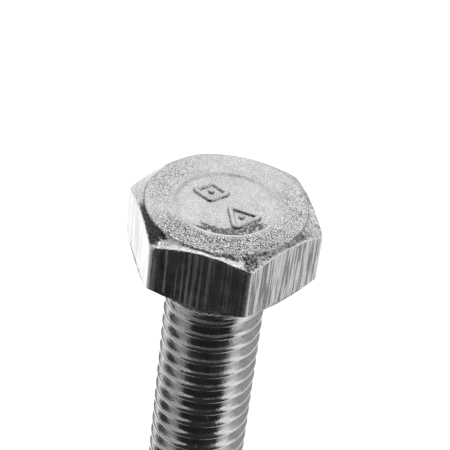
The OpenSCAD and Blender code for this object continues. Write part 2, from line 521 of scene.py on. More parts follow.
@dataclass(frozen=True)
class SteelFinish:
    """One steel surface: its brightness, its roughness, the marks that making it left, and the painted shade
    and painted highlights that its mesh carries.
    """

    name: str
    tone: float
    roughness: tuple[float, float]
    grain_size: float = 0.1 * MM
    grain_depth: float = 0.0
    grain_shade: float = 0.0
    even_grain: float = 1.0
    coarse_dulling: float = 0.0
    patch_shade: float = 0.0
    streak_width: float = 0.1 * MM
    streak_depth: float = 0.0
    rubbed_shade: float = 0.0
    rubbed_rough: float = 0.0
    dull_shade: float = 0.0
    dull_rough: float = 0.0
    pit_spacing: float = 0.6 * MM
    pit_size: float = 0.2
    pit_depth: float = 0.0
    pit_shade: float = 0.0
    pit_rough: float = 0.2
    ring_depth: float = 0.0
    ring_spacing: float = 0.2 * MM
    ring_wobble: float = 1.2 * MM
    dark_tone: float = 0.1
    dark_roughness: float = 0.5
    speck_shade: float = 0.25
    wear_and_highlight_tone: float = 0.85
    worn_roughness: float = 0.22
    worn_depth: float = 0.0
    # Size of the gaps that break up the dark marks (scale and painted shade) and the bright marks (rubbed
    # edges and painted highlights)
    dark_gaps: float = 0.16 * MM
    worn_gaps: float = 0.2 * MM

    def build(self, effects: SurfaceEffects) -> bpy.types.Material:
        """Makes the material.

        Args:
            effects: the shared shader groups.

        Returns:
            The finished material.
        """
        material = bpy.data.materials.new(self.name)
        material.use_nodes = True
        g = Graph(material.node_tree)
        shader = g.tree.nodes["Principled BSDF"]
        surface = Surface(g, g.node("ShaderNodeTexCoord").outputs["Object"], self.tone, self.roughness[0])
        self._grain(surface, effects)
        if self.streak_depth:
            self._streaks(surface, effects)
        if self.ring_depth:
            self._rings(surface)
        if self.pit_depth:
            self._pits(surface, effects)
        # dark marks: forging scale, torn layers, and painted shade in hollows and creases
        scale = surface.marks(effects.wear, "dark", self.dark_gaps, self.dark_tone, self.dark_roughness)
        surface.shaded(scale, self.speck_shade)
        # bright marks: rubbed edges and painted highlights
        rubbed = surface.marks(effects.wear, "worn", self.worn_gaps, self.wear_and_highlight_tone, self.worn_roughness)
        if self.worn_depth:
            surface.raised(rubbed, self.worn_depth)
        bump = g.node("ShaderNodeBump", {"Height": surface.height, "Distance": 1.0, "Strength": 1.0})
        shader.inputs["Metallic"].default_value = 1.0
        g.feed(shader.inputs["Base Color"], g.grey(g.clamped(surface.tone, *TONE_LIMITS)))
        g.feed(shader.inputs["Roughness"], g.clamped(surface.rough, *ROUGHNESS_LIMITS))
        g.feed(shader.inputs["Normal"], bump.outputs[0])
        return material

    def _grain(self, surface: Surface, effects: SurfaceEffects) -> None:
        """Adds the grain, which may be stronger where the mesh says that it is coarse.

        Args:
            surface: the surface so far.
            effects: the shared shader groups.
        """
        g = surface.graph
        grain = surface.group(effects.grain, {"Size": self.grain_size}).outputs
        coarse = g.node("ShaderNodeAttribute", attribute_name="coarse").outputs["Fac"]
        strength = g.math("MULTIPLY_ADD", coarse, 1 - self.even_grain, self.even_grain)
        surface.raised(grain["Height"], g.math("MULTIPLY", strength, self.grain_depth))
        tone = g.math("MULTIPLY", g.math("SUBTRACT", grain["Tone"], 0.5), strength)
        surface.shaded(tone, self.grain_shade)
        surface.shaded(g.math("SUBTRACT", grain["Patch"], 0.5), self.patch_shade)
        if self.even_grain < 1:
            surface.shaded(coarse, -self.coarse_dulling)
        surface.rough = g.remap(grain["Patch"], 0.0, 1.0, *self.roughness)

    def _streaks(self, surface: Surface, effects: SurfaceEffects) -> None:
        """Adds the lines along the axis: rubbed ones that scatter light and dull ones.

        Args:
            surface: the surface so far.
            effects: the shared shader groups.
        """
        g = surface.graph
        streaks = surface.group(effects.streaks, {"Width": self.streak_width}).outputs
        coarse = g.node("ShaderNodeAttribute", attribute_name="coarse").outputs["Fac"]
        surface.raised(streaks["Height"], self.streak_depth)
        surface.shaded(g.math("MULTIPLY", streaks["Rubbed"], coarse), self.rubbed_shade, self.rubbed_rough)
        surface.shaded(g.math("MULTIPLY", streaks["Dull"], coarse), -self.dull_shade, self.dull_rough)

    def _pits(self, surface: Surface, effects: SurfaceEffects) -> None:
        """Adds small pits.

        Args:
            surface: the surface so far.
            effects: the shared shader groups.
        """
        sizes = {"Spacing": self.pit_spacing, "Size": self.pit_size}
        pits = surface.group(effects.pits, sizes).outputs["Mask"]
        surface.raised(pits, -self.pit_depth)
        surface.shaded(pits, -self.pit_shade, self.pit_rough)

    def _rings(self, surface: Surface) -> None:
        """Adds faint rings round the axis, here and there.

        Args:
            surface: the surface so far.
        """
        g = surface.graph
        x, y, _ = g.split(surface.place)
        radius = g.vector("LENGTH", g.join(x, y, 0.0)).outputs["Value"]
        wobble = g.math("MULTIPLY", g.noise(surface.place, 1 / (2.5 * MM), detail=1.0), self.ring_wobble)
        turns = g.join(g.math("DIVIDE", g.math("ADD", radius, wobble), self.ring_spacing), 0.0, 0.0)
        lines = g.noise(turns, 1.0, detail=2.0, roughness=0.6)
        fade = g.remap(g.noise(surface.place, 1 / (1.5 * MM), detail=2.0), low=0.42, high=0.62)
        surface.raised(g.math("MULTIPLY", lines, fade), self.ring_depth)


PRESSED_TOP = SteelFinish(
    "pressed_top", tone=0.61, roughness=(0.34, 0.42), grain_size=0.105 * MM, grain_depth=0.07 * MM,
    grain_shade=1.08, even_grain=0.3, coarse_dulling=0.17, patch_shade=0.12, ring_depth=0.02 * MM,
    dark_tone=0.12, dark_roughness=0.45, speck_shade=0.3)
FORMED_CHAMFER = SteelFinish(
    "formed_chamfer", tone=0.42, roughness=(0.28, 0.44), grain_size=0.15 * MM, grain_depth=0.05 * MM,
    grain_shade=0.4, patch_shade=0.2, pit_spacing=0.35 * MM, pit_size=0.16, pit_depth=0.012 * MM,
    pit_shade=0.2, dark_tone=0.07, dark_roughness=0.4, speck_shade=0.2, wear_and_highlight_tone=0.95,
    worn_roughness=0.3, worn_depth=0.012 * MM)
TRIMMED_FLAT = SteelFinish(
    "trimmed_flat", tone=0.66, roughness=(0.15, 0.25), grain_size=0.1 * MM, grain_depth=0.006 * MM,
    grain_shade=0.14, patch_shade=0.08, streak_width=0.095 * MM, streak_depth=0.014 * MM,
    rubbed_shade=0.26, rubbed_rough=0.5, dull_shade=0.46, dull_rough=0.24, worn_roughness=0.55,
    dark_tone=0.12, dark_roughness=0.3)
TORN_LIP = SteelFinish(
    "torn_lip", tone=0.5, roughness=(0.5, 0.7), grain_size=0.1 * MM, grain_depth=0.02 * MM,
    grain_shade=0.4, patch_shade=0.3, dark_tone=0.1, dark_roughness=0.4, speck_shade=0.2, wear_and_highlight_tone=1.0,
    worn_roughness=0.34, worn_depth=0.01 * MM)
BEARING_FACE = SteelFinish(
    "bearing_face", tone=0.55, roughness=(0.3, 0.42), grain_size=0.12 * MM, grain_depth=0.02 * MM,
    grain_shade=0.2, patch_shade=0.1, ring_depth=0.01 * MM)
DRAWN_NECK = SteelFinish(
    "drawn_neck", tone=0.62, roughness=(0.12, 0.2), grain_size=0.2 * MM, grain_depth=0.004 * MM,
    grain_shade=0.08, streak_width=0.16 * MM, streak_depth=0.003 * MM)
ROLLED_THREAD = SteelFinish(
    "rolled_thread", tone=0.62, roughness=(0.12, 0.22), grain_size=0.16 * MM, grain_depth=0.006 * MM,
    grain_shade=0.1, patch_shade=0.1, pit_spacing=1.3 * MM, pit_size=0.02, pit_depth=0.01 * MM, pit_shade=0.3)


# --------------------------------------------------------------------------- meshes


def bezier(start: Array, middle: Array, end: Array, t: float) -> Array:
    """Returns the point at t on a quadratic curve between arrays of points."""
    return (1 - t) ** 2 * start + 2 * t * (1 - t) * middle + t * t * end


def soft_step(value: Any, low: Any, high: Any) -> Array:
    """Returns 0 below the limits, 1 above them and an eased step between."""
    t = np.clip((value - low) / (high - low), 0, 1)
    return t * t * (3 - 2 * t)


class Skin:
    """A closed surface made of rings of points between two poles."""

    def __init__(self, columns: int) -> None:
        """Starts an empty skin.

        Args:
            columns: points in each ring.
        """
        self.columns = columns
        self.rings: list[Array] = []
        self.finishes: list[int] = []
        # worn carries rubbed wear and painted highlights, dark carries scale, torn layers and painted shade
        self.values: dict[str, list[Array]] = {"worn": [], "dark": [], "coarse": []}

    def ring(self, points: Array, finish: int, **values: Any) -> None:
        """Adds a ring.

        Args:
            points: one point per column.
            finish: index of the material between this ring and the one before.
            values: surface values by name, as a number or one per column.
        """
        self.rings.append(points)
        self.finishes.append(int(finish))
        for name, store in self.values.items():
            store.append(np.broadcast_to(np.asarray(values.get(name, 0.0), float), (self.columns,)))

    def mesh(self, name: str, top_pole: Vector, low_pole: Vector) -> bpy.types.Mesh:
        """Closes the skin at both poles and makes a mesh, with its faces pointing outwards.

        Args:
            name: the mesh's name.
            top_pole: point that closes the first ring.
            low_pole: point that closes the last ring.

        Returns:
            The mesh, with its surface values stored as attributes.
        """
        count = self.columns
        points = np.concatenate([np.asarray([top_pole]), *self.rings, np.asarray([low_pole])])
        sides = [(i, (i + 1) % count) for i in range(count)]
        first, last, end = 1, 1 + (len(self.rings) - 1) * count, len(points) - 1
        faces: list[tuple[int, ...]] = [(0, first + i, first + j) for i, j in sides]
        finish = [self.finishes[0]] * count
        for row, below in enumerate(self.finishes[1:]):
            upper = first + row * count
            lower = upper + count
            faces += [(upper + i, lower + i, lower + j, upper + j) for i, j in sides]
            finish += [below] * count
        smooth = [True] * len(faces) + [False] * count
        faces += [(last + i, end, last + j) for i, j in sides]
        finish += [self.finishes[-1]] * count
        mesh = bpy.data.meshes.new(name)
        mesh.from_pydata(points.tolist(), [], faces)
        mesh.polygons.foreach_set("material_index", finish)
        mesh.polygons.foreach_set("use_smooth", smooth)
        for label, store in self.values.items():
            layer = mesh.attributes.new(label, "FLOAT", "POINT")
            layer.data.foreach_set("value", np.concatenate([store[0][:1], *store, store[-1][:1]]))
        mesh.update()
        return mesh


def place_piece(name: str, mesh: bpy.types.Mesh, finishes: Iterable[bpy.types.Material],
                node: str) -> bpy.types.Object:
    """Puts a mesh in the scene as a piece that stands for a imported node.

    Args:
        name: the piece's name.
        mesh: its mesh, already in place.
        finishes: its materials, in the order of the mesh's material indices.
        node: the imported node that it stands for.

    Returns:
        The new object.
    """
    # emptying the material list would reset the faces' indices
    indices = np.zeros(len(mesh.polygons), np.int32)
    mesh.polygons.foreach_get("material_index", indices)
    mesh.materials.clear()
    for finish in finishes:
        mesh.materials.append(finish)
    mesh.polygons.foreach_set("material_index", indices)
    piece = bpy.data.objects.new(name, mesh)
    bpy.context.scene.collection.objects.link(piece)
    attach(piece, BODY)
    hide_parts(node)
    log.info("%s: %d faces", name, len(mesh.polygons))
    return piece


def grown(group: Group, inputs: dict[str, Any], finish: bpy.types.Material) -> bpy.types.Mesh:
    """Evaluates a Geometry Nodes tree and keeps the result as a plain mesh.

    Args:
        group: the tree, which makes its own geometry.
        inputs: values by input name.
        finish: the material that the tree sets.

    Returns:
        The mesh that the tree makes.
    """
    holder = bpy.data.objects.new(group.tree.name, bpy.data.meshes.new(group.tree.name))
    bpy.context.scene.collection.objects.link(holder)
    modifier = holder.modifiers.new("grow", "NODES")
    modifier.node_group = group.tree
    names = group.identifiers()
    for label, value in (inputs | {"Finish": finish}).items():
        modifier[names[label]] = value
    depsgraph = bpy.context.evaluated_depsgraph_get()
    mesh = bpy.data.meshes.new_from_object(holder.evaluated_get(depsgraph))
    holder.modifiers.remove(modifier)
    bpy.data.objects.remove(holder)
    return mesh


# --------------------------------------------------------------------------- head

FLAT_COUNT = 6
FIRST_FLAT = 30
FLAT_TURN = 60
# Numbers of the flats that face left and forward
LEFT_FLAT = 3
FRONT_FLAT = 4


class Face(IntEnum):
    """Faces of the head, in the order of its finishes."""

    TOP = 0
    CHAMFER = 1
    FLAT = 2
    BEARING = 3
    TORN = 4


@dataclass(frozen=True)
class Sector:
    """A range of directions round the axis, in degrees, with soft ends and a strength."""

    middle: float
    half_width: float
    soft: float
    strength: float = 1.0

    def at(self, turn: Array) -> Array:
        """Returns 1 inside the range and 0 outside it, for directions in radians."""
        away = np.degrees(np.abs(np.angle(np.exp(1j * (turn - math.radians(self.middle))))))
        return 1 - soft_step(away, self.half_width - self.soft / 2, self.half_width + self.soft / 2)

    def felt(self, turn: Array) -> Array:
        """Returns the strength inside the range and 0 outside it."""
        return self.strength * self.at(turn)


def strongest(turn: Array, *sectors: Sector) -> Array:
    """Returns the strength of the strongest sector at each direction."""
    return np.maximum.reduce([sector.felt(turn) for sector in sectors])


@dataclass(frozen=True)
class Ripple:
    """One kind of unevenness: its height, its lumps per unit both ways and its slice of the noise."""

    height: float
    pace: float
    cross_pace: float
    layer: float

    def at(self, noise: LatticeNoise, u: Array, v: Array | float) -> Array:
        """Returns the unevenness, between minus and plus its height."""
        return self.height * noise.at(u * self.pace, v * self.cross_pace, self.layer)

    def sunk(self, noise: LatticeNoise, u: Array, v: Array | float) -> Array:
        """Returns how far the surface lies below its highest lumps."""
        return self.height + self.at(noise, u, v)


@dataclass(frozen=True)
class Outline:
    """The hexagon with rounded corners, seen from above.

    Flats are numbered anticlockwise from the one that faces 30 degrees. Along runs from -1 to 1
    over each flat, and corner rises from 0 to 1 near a corner.
    """

    points: Array
    normals: Array
    flats: Array
    along: Array
    corner: Array

    @property
    def reach(self) -> Array:
        """Returns the distance of each point from the axis."""
        return np.linalg.norm(self.points, axis=1)

    @property
    def spokes(self) -> Array:
        """Returns the unit direction of each point from the axis."""
        return self.points / self.reach[:, None]

    @property
    def turn(self) -> Array:
        """Returns the direction of each point from the axis in radians."""
        return np.arctan2(self.points[:, 1], self.points[:, 0])

    def circle(self, radius: Any, z: Any) -> Array:
        """Returns a ring at a radius and a height, with a point in each point's direction."""
        radius = np.broadcast_to(radius, (len(self.points),))
        return np.column_stack([self.spokes * radius[:, None], np.broadcast_to(z, radius.shape)])

    def lifted(self, z: Any) -> Array:
        """Returns the outline itself at a height."""
        return np.column_stack([self.points, z])


@dataclass(frozen=True)
class TearStep:
    """One ring of the torn edge: its height in the lip, how far back it is torn and how rubbed it is."""

    share: float
    depth: float
    worn: float


@dataclass(frozen=True)
class HeadWear:
    """How rubbed the edges of the head are, from 0 to 1; on the lip's edge the rubbed brightness is also a
    painted highlight.
    """

    rim: float = 0.15
    rim_in_front: float = 0.3
    ledge: float = 0.8
    chamfer_foot: float = 0.45
    outer_edge: float = 0.9
    front_edge: float = 0.35
    other_edges: float = 0.8
    forward_corner: float = 0.72
    other_corners: float = 0.3
    flat_top: float = 0.4
    # the lip's edge is rubbed and also carries a painted highlight
    lip_edge: float = 1.0
    lip_back: float = 0.5


@dataclass
class HexHead:
    """The forged head, from the recess in its top to the fillet under its bearing face."""

    flat_radius: float
    height: float
    neck_radius: float
    fillet_radius: float
    top_flat_inset: float = 0.35 * MM
    top_angle: float = math.radians(30)
    bearing_inset: float = 0.3 * MM
    under_slope: float = math.tan(math.radians(16))
    edge_rounding: float = 0.06 * MM
    flat_steps: int = 84
    corner_steps: int = 10
    # How far each corner is rounded, starting with the corner that faces 60 degrees
    corner_roundings: tuple[float, ...] = (0.25 * MM, 0.2 * MM, 0.3 * MM, 0.42 * MM, 0.24 * MM, 0.3 * MM)
    # Distance from a corner over which its rubbed edge fades
    corner_fade: float = 0.045 * MM

    wear: HeadWear = HeadWear()

    # The recess, the soft dished rim round it, and the unevenness of both
    recess_floor: float = 2.75 * MM
    recess_depth: float = 0.15 * MM
    recess_wall: float = 0.25 * MM
    dish_width: float = 0.5 * MM
    dish_depth: float = 0.04 * MM
    wall_softening: tuple[float, float] = (0.06 * MM, 0.3 * MM)
    wall_lean: Ripple = Ripple(0.035 * MM, 1.4, 1.4, 3.1)
    wall_change: Ripple = Ripple(0.5, 1.1, 1.1, 6.0)
    floor_ripple: Ripple = Ripple(0.006 * MM, 0.9, 0.9, 8.0)
    top_ripple: Ripple = Ripple(0.004 * MM, 2.3, 2.3, 2.0)
    # The groove at the foot of the near wall, the painted shade of a dark crescent in it and the painted
    # highlight of a bright line on the rim above it
    groove_edge: tuple[float, float] = (2.0 * MM, 2.62 * MM)
    groove_depth: float = 0.07 * MM
    # Painted shade: where the dark crescent starts and ends across the groove, and how dark it is
    crescent_inside: tuple[float, float] = (1.95 * MM, 2.35 * MM)
    crescent_outside: tuple[float, float] = (2.72 * MM, 2.9 * MM)
    crescent_painted_shade: float = 0.66
    # Painted highlight: how bright the line along the rim is, and its width
    rim_painted_highlight: float = 0.85
    rim_highlight_width: float = 0.05 * MM
    # How far inside the top of the wall the dish and the coarse grain begin
    dish_overlap: float = 0.02 * MM
    coarse_overlap: float = 0.1 * MM

    # Where the punch left a coarse face
    near_wall: Sector = Sector(-66, 50, 26)
    coarse_side: Sector = Sector(-74, 62, 40)
    right_side: Sector = Sector(0, 44, 50, 0.5)
    left_side: Sector = Sector(172, 34, 50, 0.42)

    # The ledge rolled into the chamfer: where it is present, how far down the slope it lies, where
    # the step up to it begins and ends, how wide it is, and how much smoother it leaves the steel
    ledge: Sector = Sector(-88, 22, 12, 0.6)
    broken_ledge: Sector = Sector(-56, 24, 14, 0.45)
    rubbed_edge: Sector = Sector(-95, 26, 6, 0.6)
    low_ledge: Sector = Sector(-74, 16, 20, 0.3)
    ledge_place: float = 0.09
    ledge_wander: tuple[Ripple, ...] = (Ripple(0.1, 7, 0, 9.0), Ripple(0.07, 25, 0, 3.0))
    ledge_gaps: Ripple = Ripple(1.0, 9, 0, 5.0)
    ledge_gap_limits: tuple[float, float] = (-0.2, 0.5)
    ledge_step: tuple[float, float] = (-0.3, 0.06)
    ledge_width: float = 0.1
    ledge_smoothing: float = 0.7
    # The outer part of the slope that is rubbed, and the share of it that rounds over at the foot
    outer_band: tuple[float, float] = (0.8, 0.93)
    brink_share: float = 0.08
    # Dark forging scale on the chamfer, and its brighter stretches: a mottled band rubbed clean, a front band
    # rubbed clean that also carries a painted highlight, and painted light at the left and right corners
    scale_patch: Sector = Sector(-134, 20, 5)
    scale_streak: Sector = Sector(-60, 16, 14, 0.5)
    dull_chamfer: Sector = Sector(-34, 18, 14, 0.34)
    painted_light_left: Sector = Sector(-182, 24, 12, 0.85)
    painted_light_corner: Sector = Sector(6, 18, 14, 0.6)
    rubbed_highlight_band: Sector = Sector(-101, 17, 7, 0.95)
    mottled_band: Sector = Sector(-74, 12, 12, 0.8)
    scale_rubbed_off: float = 0.7
    # Unevenness of the chamfer: coarse and fine, each on clean steel and how much scale adds
    chamfer_waves: Ripple = Ripple(1.0, 1.8, 1.8, 4.0)
    chamfer_wave_heights: tuple[float, float] = (0.012 * MM, 0.02 * MM)
    chamfer_bumps: Ripple = Ripple(1.0, 6, 6, 7.0)
    chamfer_bump_heights: tuple[float, float] = (0.003 * MM, 0.012 * MM)
    # How far the edge between the chamfer and the flats is rubbed round
    edge_wear: float = 0.06 * MM
    edge_nicks: Ripple = Ripple(0.5, 9, 9, 1.0)

    # Lines that the trimming die left down the flats
    die_line_depth: float = 0.007 * MM
    die_line_middle: float = 1.4
    die_lines: tuple[Ripple, ...] = (Ripple(0.6, 2.2, 0, 1.0), Ripple(0.4, 6.1, 0, 2.0))
    die_drift: Ripple = Ripple(0.5, 4.3, 0.25, 9.0)
    # Half of a flat's width and the shift from flat to flat in millimetres, where the lines are read
    line_span: float = 2.9
    line_shift: float = 13.7
    # How streaky the flats are: the front one in its middle and how much less at its right end,
    # the left one, and the others
    front_streaks: tuple[float, float] = (0.62, 0.45)
    left_streaks: float = 0.25
    other_streaks: float = 0.85
    # Share of a flat's height over which its top edge is rubbed
    flat_top_share: float = 0.03
    # The torn lip under each flat, starting with the flat that faces 30 degrees
    lip_drops: tuple[float, ...] = (0.16 * MM, 0.1 * MM, 0.2 * MM, 0.14 * MM, 0.42 * MM, 0.12 * MM)
    lip_middles: tuple[float, ...] = (-0.2, 0.1, 0.3, -0.1, 0.12, 0.0)
    lip_sharpness: float = 1.7
    lip_thickness: float = 0.25 * MM
    lip_teeth: tuple[Ripple, ...] = (Ripple(0.22, 9, 7.3, 0), Ripple(0.14, 31, 1, 5))
    # How far above the lip's edge the torn edge starts, and the flats end: a gap and a share of the lip
    torn_gap: float = 0.04 * MM
    torn_share: float = 0.75
    flat_gap: float = 0.06 * MM
    flat_share: float = 0.78
    # The torn layers on the flats: how high they reach, how they fade, and lips that have them
    torn_height: float = 0.42 * MM
    torn_fade: float = 0.2 * MM
    torn_dark: float = 0.55
    layered_lips: tuple[float, float] = (0.02 * MM, 0.2 * MM)
    torn_line: Ripple = Ripple(0.1 * MM, 1.5, 0, 3.0)
    torn_layers: tuple[Ripple, ...] = (Ripple(1.0, 1.6, 14, 6.0), Ripple(0.6, 5, 30, 1.0))
    torn_layer_depth: float = 0.035 * MM
    # The torn edge itself: lips that have it, how deep it is, how dark the painted shade in its crease is,
    # and its unevenness
    torn_lips: tuple[float, float] = (0.03 * MM, 0.2 * MM)
    tear_middle: float = 0.8
    tear_painted_shade: float = 0.6
    tear_change: Ripple = Ripple(0.4, 7, 3.1, 2.0)
    tear_wave_middle: float = 0.85
    tear_wave: Ripple = Ripple(0.5, 3.4, 4, 4.0)
    tear_wander: Ripple = Ripple(0.12, 4, 0, 8.0)
    tear_steps: tuple[TearStep, ...] = (
        TearStep(0.95, 0.03 * MM, 0.0), TearStep(0.86, 0.08 * MM, 0.2), TearStep(0.76, 0.13 * MM, 0.4),
        TearStep(0.67, 0.16 * MM, 0.4), TearStep(0.6, 0.14 * MM, 0.6), TearStep(0.54, 0.09 * MM, 0.9),
        TearStep(0.5, 0.04 * MM, 1.0), TearStep(0.47, 0.01 * MM, 1.0))
    # Steps above this share of the lip still have the flats' finish
    torn_finish_share: float = 0.8
    # Steps that are rubbed less than this get painted shade, as they lie in the crease of the tear
    dark_step: float = 0.2
    # The burr on the shelf, rubbed and brightened as a painted highlight: where it is brightest on the front
    # flat, and how bright it is elsewhere
    burr_middle: float = -0.25
    burr_reach: tuple[float, float] = (0.3, 0.6)
    burr_least: float = 0.45
    burr_elsewhere: float = 0.7
    # The rounded edge of the lip: where it starts, its width and how far its underside rises
    lip_edge_start: float = 0.45
    lip_edge_width: float = 0.6
    lip_edge_rise: float = 0.02 * MM
    lip_rise: float = 0.03 * MM
    # How soon the underside meets its slope, from a foot above the slope and from one below it
    under_ease: tuple[float, float] = (1.1, 0.55)
    # Where the trimming die cut the foot of the flats short
    short_foot: Sector = Sector(-113, 13, 18, 0.22 * MM)

    lumps: LatticeNoise = LatticeNoise(11)
    tears: LatticeNoise = LatticeNoise(23)

    @property
    def top_radius(self) -> float:
        """Returns the radius at which the top chamfer starts."""
        return self.flat_radius - self.top_flat_inset

    @property
    def bearing_radius(self) -> float:
        """Returns the radius of the bearing face."""
        return self.flat_radius - self.bearing_inset

    def outline(self) -> Outline:
        """Lays out the hexagon with rounded corners.

        Returns:
            The outline.
        """
        points, normals, flats, along, corner = [], [], [], [], []
        half_turn = math.radians(FLAT_TURN / 2)
        slant = math.tan(half_turn)
        for flat in range(FLAT_COUNT):
            facing = math.radians(FIRST_FLAT + FLAT_TURN * flat)
            out = np.array([math.cos(facing), math.sin(facing)])
            side = np.array([-out[1], out[0]])
            begin = -(self.flat_radius - self.corner_roundings[flat - 1]) * slant
            end = (self.flat_radius - self.corner_roundings[flat]) * slant
            for x in np.linspace(begin, end, self.flat_steps + 1):
                gap = min(end - x, x - begin)
                points.append(out * self.flat_radius + side * x)
                normals.append(out)
                flats.append(flat)
                along.append(x / (self.flat_radius * slant))
                corner.append(math.exp(-((gap / self.corner_fade) ** 2)))
            rounding = self.corner_roundings[flat]
            bisector = facing + half_turn
            reach = (self.flat_radius - rounding) / math.cos(half_turn)
            centre = reach * np.array([math.cos(bisector), math.sin(bisector)])
            for step in range(1, self.corner_steps):
                turn = facing + 2 * half_turn * step / self.corner_steps
                outward = np.array([math.cos(turn), math.sin(turn)])
                points.append(centre + rounding * outward)
                normals.append(outward)
                flats.append(flat)
                along.append(1.0)
                corner.append(1.0)
        return Outline(*(np.array(values) for values in (points, normals, flats, along, corner)))

    def lip(self, outline: Outline) -> Array:
        """Works out how far the torn lip hangs down.

        Args:
            outline: the hexagon.

        Returns:
            The lip's depth at each outline point.
        """
        drop = np.array(self.lip_drops)[outline.flats]
        middle = np.array(self.lip_middles)[outline.flats]
        off = outline.along - middle
        x = np.clip(off / (1 - np.sign(off) * middle), -1, 1)
        teeth = sum(r.at(self.tears, outline.along, outline.flats) for r in self.lip_teeth)
        return drop * (1 - x * x) ** self.lip_sharpness * (1 + teeth)

    def build(self, finishes: Sequence[bpy.types.Material]) -> bpy.types.Object:
        """Makes the head.

        Args:
            finishes: the materials, in the order of the head's faces.

        Returns:
            The piece.
        """
        outline = self.outline()
        skin = Skin(len(outline.points))
        self._top(skin, outline)
        worn = self._chamfer(skin, outline)
        foot = self._flats(skin, outline, worn)
        self._torn_edge(skin, outline, foot)
        self._underside(skin, outline, foot)
        top_pole = Vector((0, 0, self.height - self.recess_depth))
        mesh = skin.mesh("hex_head_forged", top_pole, Vector((0, 0, -self.fillet_radius)))
        return place_piece("hex_head_forged", mesh, finishes, "hex_head")

    def _top_radii(self, rim: float, dish: float) -> Array:
        """Spaces the rings across the top, closest together on the wall of the recess.

        Args:
            rim: radius of the top of the recess wall.
            dish: radius at which the dished rim ends.

        Returns:
            The radii, from the middle outwards.
        """
        runs = (
            (0.12 * MM, 1.9 * MM, 12),
            (2.0 * MM, self.recess_floor - 0.1 * MM, 10),
            (self.recess_floor - 0.06 * MM, rim + 0.06 * MM, 14),
            (rim + 0.1 * MM, dish + 0.05 * MM, 9),
            (dish + 0.12 * MM, self.top_radius - self.edge_rounding, 10),
        )
        return np.concatenate([np.linspace(start, end, count) for start, end, count in runs])

    def _top(self, skin: Skin, outline: Outline) -> None:
        """Adds the recess, its dished rim and the flat ring round it.

        Args:
            skin: the head's skin.
            outline: the hexagon.
        """
        rim = self.recess_floor + self.recess_wall
        dish = rim + self.dish_width
        cos, sin = np.cos(outline.turn), np.sin(outline.turn)
        near = self.near_wall.at(outline.turn)
        side = strongest(outline.turn, self.coarse_side, self.right_side, self.left_side)
        # the recess is pressed a little off true, and its wall leans over a varying width
        lean = self.wall_lean.at(self.lumps, cos, sin)
        least, most = self.wall_softening
        soften = (least + (most - least) * self.wall_change.sunk(self.lumps, cos, sin)) * (1 - near)
        for radius in self._top_radii(rim, dish):
            x, y = outline.spokes.T * radius / MM
            wall = soft_step(radius + lean, self.recess_floor - soften, rim + soften)
            rise = soft_step(radius, rim - self.dish_overlap, dish)
            z = self.height - self.dish_depth * (1 - rise)
            z = z - (self.recess_depth - self.dish_depth) * (1 - wall)
            z = z - self.groove_depth * soft_step(radius, *self.groove_edge) * (1 - wall) * near
            z = z + self.floor_ripple.at(self.lumps, x, y) * (1 - rise)
            z = z - self.top_ripple.sunk(self.lumps, x, y)
            # painted shade: a dark crescent in the groove at the foot of the near wall, carried as dark
            shade_crescent = soft_step(radius, *self.crescent_inside)
            shade_crescent = shade_crescent * (1 - soft_step(radius, *self.crescent_outside))
            # painted highlight: a bright line along the rim of the near wall, carried as worn
            rim_highlight = math.exp(-(((radius - rim) / self.rim_highlight_width) ** 2))
            coarse = side * soft_step(radius, rim - self.coarse_overlap, dish)
            skin.ring(outline.circle(radius, z), Face.TOP, dark=self.crescent_painted_shade * shade_crescent * near,
                      worn=self.rim_painted_highlight * rim_highlight * near, coarse=coarse)

    def _chamfer(self, skin: Skin, outline: Outline) -> Array:
        """Adds the rounded rim and the sloping chamfer with its rolled ledge, scale, rubbed stretches and
        painted light.

        Args:
            skin: the head's skin.
            outline: the hexagon.

        Returns:
            How far the edge at the foot of the chamfer is rubbed round, at each outline point.
        """
        turn = outline.turn
        rounding = self.edge_rounding
        cos, sin = math.cos(self.top_angle), math.sin(self.top_angle)
        front = self.coarse_side.at(turn)
        rim = [np.array([self.top_radius - rounding, self.height]), np.array([self.top_radius, self.height]),
               np.array([self.top_radius + rounding * cos, self.height - rounding * sin])]
        for t in (0.25, 0.5, 0.75, 1.0):
            radius, z = bezier(*rim, t)
            face = Face.TOP if t < 0.6 else Face.CHAMFER
            rubbed = self.wear.rim + self.wear.rim_in_front * front
            skin.ring(outline.circle(radius, z), face, worn=rubbed, coarse=front)
        nicks = self.edge_nicks.at(self.lumps, np.cos(turn), np.sin(turn))
        worn = self.edge_wear * (1 + nicks) * (1 + outline.corner)
        near = self.top_radius + rounding * cos
        width = outline.reach - worn * cos - near
        present = soft_step(self.ledge_gaps.at(self.lumps, turn, 0.0), *self.ledge_gap_limits)
        broken = self.broken_ledge.felt(turn) * present
        ledge = np.maximum(strongest(turn, self.ledge, self.rubbed_edge), broken)
        place = self.ledge_place + self.low_ledge.felt(turn)
        place = place + sum(r.at(self.lumps, turn, 0.0) for r in self.ledge_wander)
        scale = strongest(turn, self.scale_patch, self.scale_streak, self.dull_chamfer)
